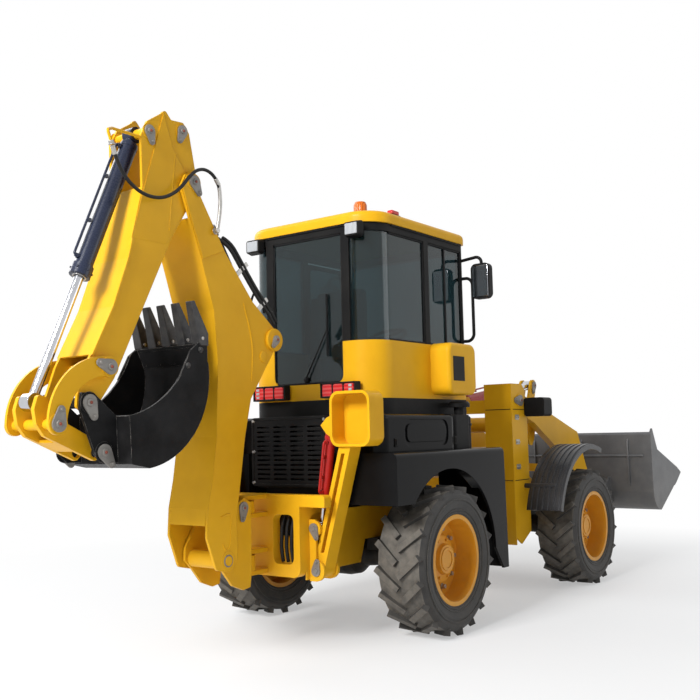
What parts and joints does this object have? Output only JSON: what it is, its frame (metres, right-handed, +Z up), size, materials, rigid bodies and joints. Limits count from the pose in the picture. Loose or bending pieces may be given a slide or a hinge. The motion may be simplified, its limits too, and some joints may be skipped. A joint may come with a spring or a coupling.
{
  "type": "articulated backhoe loader",
  "caption": "Articulated wheel loader with a front bucket, an enclosed cab and a folded rear backhoe with swing-down stabilizers, joined at working hinges.",
  "frame": {"origin": "on the ground, at the middle of the overall length and width", "axes": "+X forward to the loader bucket, +Y to the left, +Z up"},
  "size_m": [7.7549, 2.1, 3.4438],
  "materials": {
    "paint_yellow": "semi-gloss paint",
    "paint_rim": "semi-gloss paint",
    "rubber_tyre": "dusty matte",
    "black_panel": "gloss black",
    "black_metal": "satin black",
    "bucket_grey": "satin dark grey",
    "hoe_black": "worn satin black",
    "barrel_navy": "gloss navy",
    "barrel_red": "gloss red",
    "rod_chrome": "polished",
    "cab_glass": "tinted clear",
    "hose_rubber": "satin rubber",
    "trim_black": "grained matte",
    "lamp_red": "clear-coated"
  },
  "bodies": {
    "rear_body": {"rear_frame": "paint_yellow", "rear_axle": "black_metal", "engine_block": "black_metal", "backhoe_frame": "paint_yellow", "rear_fenders": "black_panel", "engine_cover": "black_panel", "radiator_grille": "black_metal", "side_tanks": "black_metal", "cab_base": "black_metal", "cab_shell": "paint_yellow", "cab_pillars": "black_metal", "cab_roof": "paint_yellow", "cab_glass": "cab_glass", "climate_box": "paint_yellow", "cab_interior": "trim_black", "rear_lamps": "lamp_red", "roof_lamps": "lamp_red", "mirrors_and_rails": "black_metal"},
    "cab_door": {"cab_door": "black_metal", "door_glass": "cab_glass"},
    "front_body": {"front_frame": "paint_yellow", "front_axle": "black_metal", "front_fenders": "black_panel", "head_lamps": "black_metal"},
    "loader_arms": {"loader_arms": "paint_yellow"},
    "bell_crank": {"bell_crank": "paint_yellow"},
    "tilt_link": {"tilt_link": "paint_yellow"},
    "loader_bucket": {"loader_bucket": "bucket_grey"},
    "lift_barrels": {"lift_barrel": "barrel_navy"},
    "lift_rods": {"lift_rod": "rod_chrome"},
    "tilt_barrel": {"tilt_barrel": "barrel_red"},
    "tilt_rod": {"tilt_rod": "rod_chrome"},
    "swing_post": {"swing_post": "paint_yellow"},
    "boom": {"boom": "paint_yellow"},
    "boom_barrel": {"boom_barrel": "barrel_navy"},
    "boom_rod": {"boom_rod": "rod_chrome"},
    "dipper": {"dipper": "paint_yellow", "boom_hose": "hose_rubber"},
    "dipper_barrel": {"dipper_barrel": "barrel_navy"},
    "dipper_rod": {"dipper_rod": "rod_chrome"},
    "hoe_barrel": {"hoe_barrel": "barrel_navy"},
    "hoe_rod": {"hoe_rod": "rod_chrome"},
    "rocker_links": {"rocker_links": "paint_yellow"},
    "power_link": {"power_link": "paint_yellow"},
    "hoe_bucket": {"hoe_bucket": "hoe_black"},
    "stabilizer_leg_right": {"stabilizer_leg_right": "paint_yellow"},
    "stabilizer_right_barrel": {"stabilizer_right_barrel": "barrel_red"},
    "stabilizer_right_rod": {"stabilizer_right_rod": "rod_chrome"},
    "stabilizer_leg_left": {"stabilizer_leg_left": "paint_yellow"},
    "stabilizer_left_barrel": {"stabilizer_left_barrel": "barrel_red"},
    "stabilizer_left_rod": {"stabilizer_left_rod": "rod_chrome"},
    "wheel_rear_right": {"rim_rear_right": "paint_rim", "tyre_rear_right": "rubber_tyre"},
    "wheel_rear_left": {"rim_rear_left": "paint_rim", "tyre_rear_left": "rubber_tyre"},
    "wheel_front_right": {"rim_front_right": "paint_rim", "tyre_front_right": "rubber_tyre"},
    "wheel_front_left": {"rim_front_left": "paint_rim", "tyre_front_left": "rubber_tyre"}
  },
  "joints": [
    {"name": "articulation", "type": "hinge", "parent": "rear_body", "child": "front_body", "pos_m": [0.233, 0, 0.7], "axis": [0, 0, 1], "range_deg": [-36, 36]},
    {"name": "loader_lift", "type": "hinge", "parent": "front_body", "child": "loader_arms", "pos_m": [0.82, 0, 1.69], "axis": [0, -1, 0], "range_deg": [-12.5, 62]},
    {"name": "lift_barrel_turn", "type": "hinge", "parent": "front_body", "child": "lift_barrels", "pos_m": [0.735, 0, 0.51], "axis": [0, -1, 0], "range_deg": [-3.53, 13.57]},
    {"name": "lift_rod_slide", "type": "slide", "parent": "lift_barrels", "child": "lift_rods", "axis": [0.6123, 0, 0.7906], "range_m": [-0.122, 0.5972]},
    {"name": "bucket_tilt", "type": "hinge", "parent": "loader_arms", "child": "loader_bucket", "pos_m": [2.8, 0, 0.69], "axis": [0, 1, 0], "range_deg": [-3, 110]},
    {"name": "bell_crank_turn", "type": "hinge", "parent": "loader_arms", "child": "bell_crank", "pos_m": [2.03, 0, 1.37], "axis": [0, 1, 0], "range_deg": [-52.35, 2.4]},
    {"name": "tilt_link_turn", "type": "hinge", "parent": "bell_crank", "child": "tilt_link", "pos_m": [1.785, 0, 1.054], "axis": [0, 1, 0], "range_deg": [-2.94, 72.26]},
    {"name": "tilt_barrel_turn", "type": "hinge", "parent": "loader_arms", "child": "tilt_barrel", "pos_m": [0.82, 0, 1.69], "axis": [0, 1, 0], "range_deg": [-4.99, 1.11]},
    {"name": "tilt_rod_slide", "type": "slide", "parent": "tilt_barrel", "child": "tilt_rod", "axis": [0.9902, 0, 0.14], "range_m": [-0.4824, 0.0151]},
    {"name": "backhoe_swing", "type": "hinge", "parent": "rear_body", "child": "swing_post", "pos_m": [-2.18, 0, 0.75], "axis": [0, 0, 1], "range_deg": [-90, 90]},
    {"name": "boom_lower", "type": "hinge", "parent": "swing_post", "child": "boom", "pos_m": [-2.5, 0, 0.648], "axis": [0, -1, 0], "range_deg": [-3, 115]},
    {"name": "boom_barrel_turn", "type": "hinge", "parent": "swing_post", "child": "boom_barrel", "pos_m": [-2.33, 0, 0.965], "axis": [0, -1, 0], "range_deg": [-4.24, 125.2]},
    {"name": "boom_rod_slide", "type": "slide", "parent": "boom_barrel", "child": "boom_rod", "axis": [0.1876, 0, 0.9823], "range_m": [-0.01483, 0.49375]},
    {"name": "dipper_out", "type": "hinge", "parent": "boom", "child": "dipper", "pos_m": [-2.775, 0, 3.03], "axis": [0, 1, 0], "range_deg": [-2, 112]},
    {"name": "dipper_barrel_turn", "type": "hinge", "parent": "boom", "child": "dipper_barrel", "pos_m": [-2.04, 0, 2.08], "axis": [0, 1, 0], "range_deg": [-1.21, 12.92]},
    {"name": "dipper_rod_slide", "type": "slide", "parent": "dipper_barrel", "child": "dipper_rod", "axis": [-0.5345, 0, 0.8451], "range_m": [-0.4935, 0.01078]},
    {"name": "hoe_open", "type": "hinge", "parent": "dipper", "child": "hoe_bucket", "pos_m": [-3.56, 0, 1.635], "axis": [0, 1, 0], "range_deg": [-2, 150]},
    {"name": "rocker_turn", "type": "hinge", "parent": "dipper", "child": "rocker_links", "pos_m": [-3.44, 0, 1.835], "axis": [0, 1, 0], "range_deg": [-2.21, 91.72]},
    {"name": "power_link_turn", "type": "hinge", "parent": "rocker_links", "child": "power_link", "pos_m": [-3.777, 0, 1.518], "axis": [0, 1, 0], "range_deg": [-23.13, 1.29]},
    {"name": "hoe_barrel_turn", "type": "hinge", "parent": "dipper", "child": "hoe_barrel", "pos_m": [-3.108, 0, 3.284], "axis": [0, 1, 0], "range_deg": [-1.11, 9.28]},
    {"name": "hoe_rod_slide", "type": "slide", "parent": "hoe_barrel", "child": "hoe_rod", "axis": [-0.3903, 0, -0.9207], "range_m": [-0.59863, 0.00996]},
    {"name": "stabilizer_right_down", "type": "hinge", "parent": "rear_body", "child": "stabilizer_leg_right", "pos_m": [-1.805, -0.4, 0.52], "axis": [1, 0, 0], "range_deg": [0, 100]},
    {"name": "stabilizer_right_barrel_turn", "type": "hinge", "parent": "stabilizer_leg_right", "child": "stabilizer_right_barrel", "pos_m": [-1.805, -0.49, 1.49], "axis": [1, 0, 0], "range_deg": [-1, 17.12]},
    {"name": "stabilizer_right_rod_slide", "type": "slide", "parent": "stabilizer_right_barrel", "child": "stabilizer_right_rod", "axis": [0, 0.149, -0.9888], "range_m": [-0.002, 0.37962]},
    {"name": "stabilizer_left_down", "type": "hinge", "parent": "rear_body", "child": "stabilizer_leg_left", "pos_m": [-1.805, 0.4, 0.52], "axis": [-1, 0, 0], "range_deg": [0, 100]},
    {"name": "stabilizer_left_barrel_turn", "type": "hinge", "parent": "stabilizer_leg_left", "child": "stabilizer_left_barrel", "pos_m": [-1.805, 0.49, 1.49], "axis": [-1, 0, 0], "range_deg": [-1, 17.12]},
    {"name": "stabilizer_left_rod_slide", "type": "slide", "parent": "stabilizer_left_barrel", "child": "stabilizer_left_rod", "axis": [0, -0.149, -0.9888], "range_m": [-0.002, 0.37962]},
    {"name": "door_open", "type": "hinge", "parent": "rear_body", "child": "cab_door", "pos_m": [-0.7, 0.62, 2.29], "axis": [0, 0, 1], "range_deg": [0, 80]},
    {"name": "wheel_rear_right_spin", "type": "hinge", "parent": "rear_body", "child": "wheel_rear_right", "pos_m": [-1.03, -0.81, 0.525], "axis": [0, 1, 0], "continuous": true},
    {"name": "wheel_rear_left_spin", "type": "hinge", "parent": "rear_body", "child": "wheel_rear_left", "pos_m": [-1.03, 0.81, 0.525], "axis": [0, 1, 0], "continuous": true},
    {"name": "wheel_front_right_spin", "type": "hinge", "parent": "front_body", "child": "wheel_front_right", "pos_m": [1.495, -0.81, 0.525], "axis": [0, 1, 0], "continuous": true},
    {"name": "wheel_front_left_spin", "type": "hinge", "parent": "front_body", "child": "wheel_front_left", "pos_m": [1.495, 0.81, 0.525], "axis": [0, 1, 0], "continuous": true}
  ],
  "couplings": [
    {"joint": "lift_barrel_turn", "follows": "loader_lift", "ratio": 0.20267},
    {"joint": "lift_rod_slide", "follows": "loader_lift", "m_per_rad": 0.55004},
    {"joint": "bell_crank_turn", "follows": "bucket_tilt", "ratio": -0.46679},
    {"joint": "tilt_link_turn", "follows": "bucket_tilt", "ratio": 0.64782},
    {"joint": "tilt_barrel_turn", "follows": "bucket_tilt", "ratio": -0.036301},
    {"joint": "tilt_rod_slide", "follows": "bucket_tilt", "m_per_rad": -0.25023},
    {"joint": "boom_barrel_turn", "follows": "boom_lower", "ratio": 1.08},
    {"joint": "boom_rod_slide", "follows": "boom_lower", "m_per_rad": 0.245},
    {"joint": "dipper_barrel_turn", "follows": "dipper_out", "ratio": 0.10642},
    {"joint": "dipper_rod_slide", "follows": "dipper_out", "m_per_rad": -0.25144},
    {"joint": "rocker_turn", "follows": "hoe_open", "ratio": 0.6048},
    {"joint": "power_link_turn", "follows": "hoe_open", "ratio": -0.14755},
    {"joint": "hoe_barrel_turn", "follows": "hoe_open", "ratio": 0.055167},
    {"joint": "hoe_rod_slide", "follows": "hoe_open", "m_per_rad": -0.2279},
    {"joint": "stabilizer_right_barrel_turn", "follows": "stabilizer_right_down", "ratio": 0.16121},
    {"joint": "stabilizer_right_rod_slide", "follows": "stabilizer_right_down", "m_per_rad": 0.21636},
    {"joint": "stabilizer_left_barrel_turn", "follows": "stabilizer_left_down", "ratio": 0.16121},
    {"joint": "stabilizer_left_rod_slide", "follows": "stabilizer_left_down", "m_per_rad": 0.21636}
  ]
}
